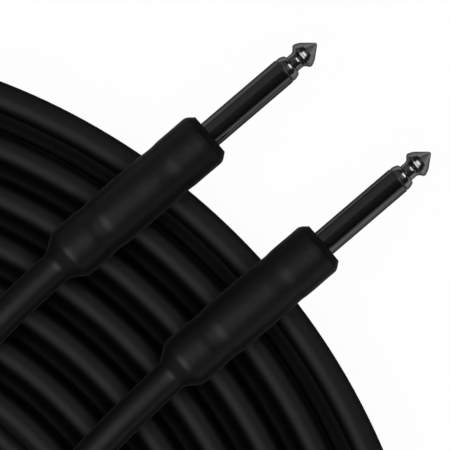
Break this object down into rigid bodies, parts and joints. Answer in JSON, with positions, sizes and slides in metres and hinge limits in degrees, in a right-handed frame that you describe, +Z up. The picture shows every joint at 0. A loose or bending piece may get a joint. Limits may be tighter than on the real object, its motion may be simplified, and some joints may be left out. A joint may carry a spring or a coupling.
{
  "type": "instrument cable",
  "caption": "Coiled black instrument cable with a straight two-pole phone plug at each end, each plug body sealed under heat-shrink.",
  "frame": {"origin": "middle of the coil, on the surface that the coil lies on", "axes": "+Z up, square to the coil; both plugs' tips point 40.5 degrees from +X towards +Y"},
  "size_m": [0.3085, 0.3079, 0.0276],
  "materials": {
    "jacket": "matte black soft PVC",
    "shrink": "satin black heat-shrink",
    "nickel": "nickel plate on brass, polished",
    "insulator": "black moulded insulator",
    "terminal": "tin plate on brass",
    "fibre": "red-brown fibre",
    "shell_metal": "satin nickel plate on brass",
    "liner_paper": "waxed paper",
    "core_plastic": "natural polyethylene",
    "copper": "copper strands with tin solder"
  },
  "bodies": {
    "root": {"cable_coil": "jacket", "tip_contact_a": "nickel", "tip_insulator_a": "insulator", "sleeve_contact_a": "nickel", "ground_terminal_a": "terminal", "terminal_washer_a": "fibre", "tip_terminal_a": "terminal", "shell_a": "shell_metal", "shell_liner_a": "liner_paper", "heat_shrink_a": "shrink", "core_insulation_a": "core_plastic", "signal_conductor_a": "copper", "shield_pigtail_a": "copper", "cable_tail_a": "jacket", "tip_contact_b": "nickel", "tip_insulator_b": "insulator", "sleeve_contact_b": "nickel", "ground_terminal_b": "terminal", "terminal_washer_b": "fibre", "tip_terminal_b": "terminal", "shell_b": "shell_metal", "shell_liner_b": "liner_paper", "heat_shrink_b": "shrink", "core_insulation_b": "core_plastic", "signal_conductor_b": "copper", "shield_pigtail_b": "copper", "cable_tail_b": "jacket"}
  },
  "joints": []
}
